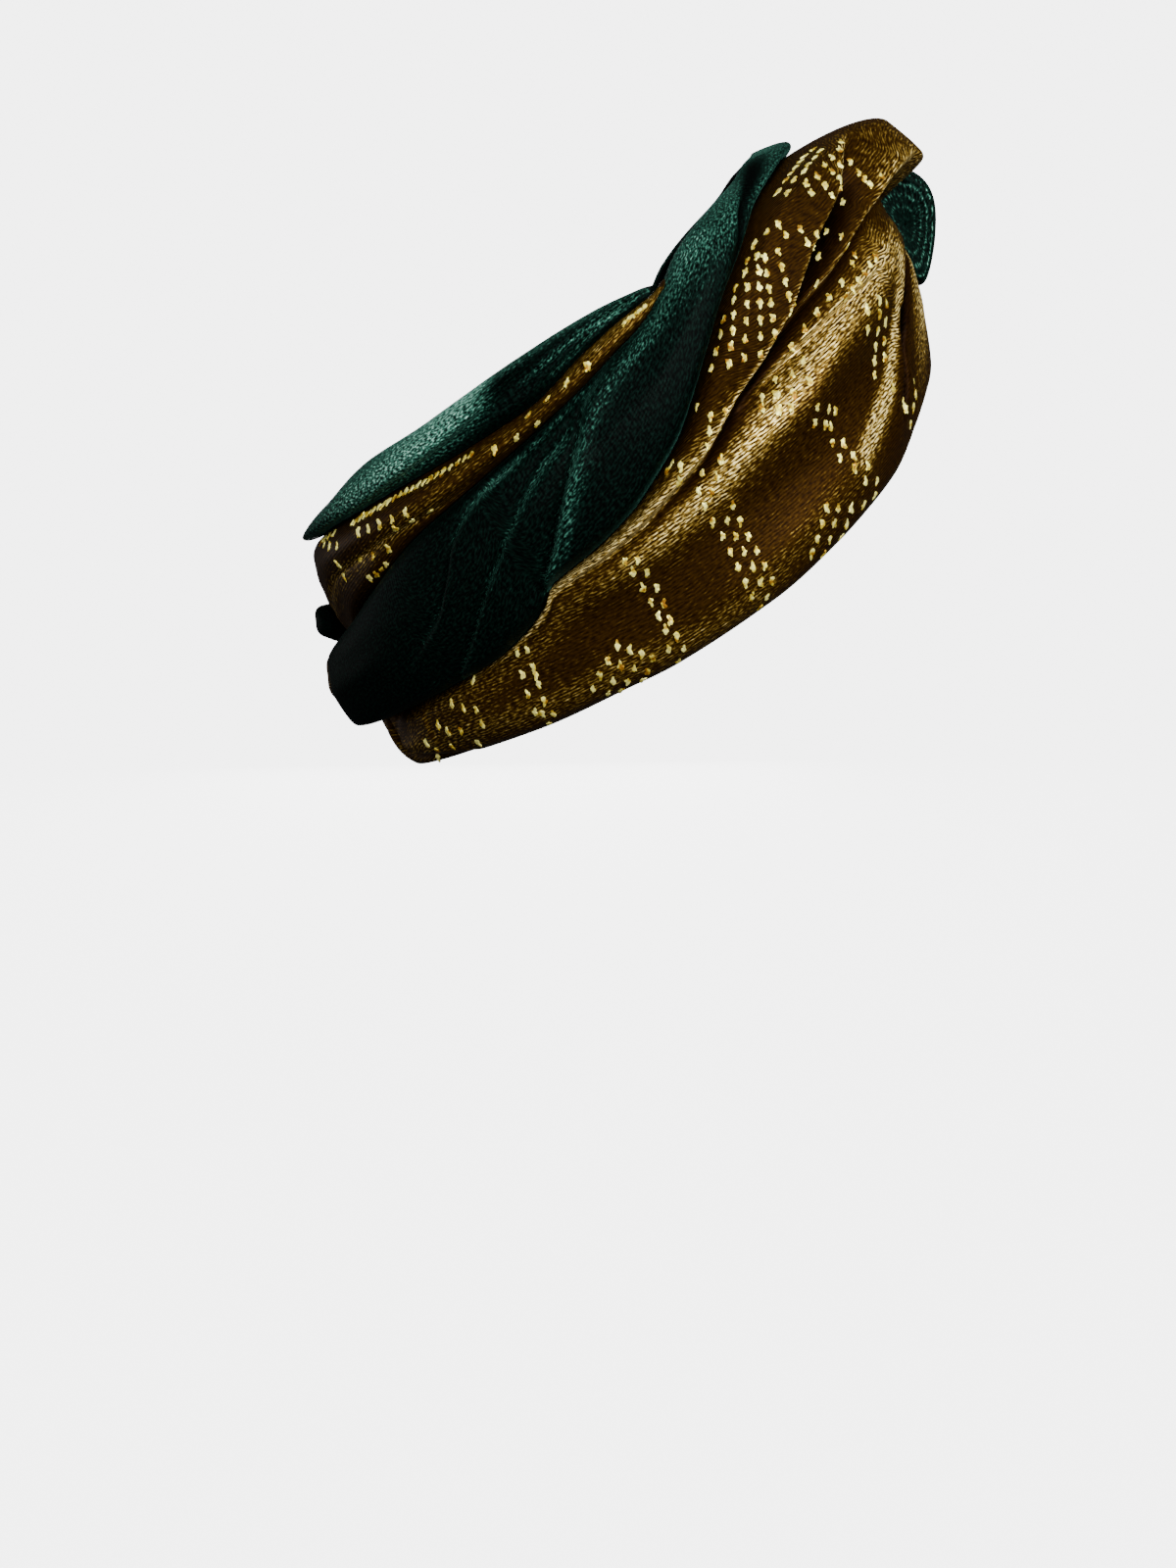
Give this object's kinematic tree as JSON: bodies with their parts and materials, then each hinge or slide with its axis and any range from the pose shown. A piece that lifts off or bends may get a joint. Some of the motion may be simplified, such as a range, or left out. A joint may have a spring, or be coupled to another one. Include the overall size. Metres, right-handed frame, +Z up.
{
  "type": "turban headwrap",
  "caption": "Turban headwrap of green and gold stretch velvet, wound round the head with a looped knot at the front",
  "frame": {"origin": "middle of the head space, where the wrap sits on a head", "axes": "+X to the wearer's front, +Y to the wearer's left, +Z up"},
  "size_m": [0.1971, 0.1816, 0.1941],
  "materials": {
    "green_velvet": "dark green crushed stretch velvet with a mint sheen",
    "gold_brocade": "bronze gold ribbed stretch velvet with small gold foil dots"
  },
  "bodies": {
    "root": {"upper_green_band": "green_velvet", "upper_gold_band": "gold_brocade", "crossing_green_band": "green_velvet", "lower_gold_band_right": "gold_brocade", "lower_gold_band_left": "gold_brocade", "front_gather": "gold_brocade", "front_loop": "green_velvet", "back_knot_gold": "gold_brocade", "back_knot_green": "green_velvet"}
  },
  "joints": []
}
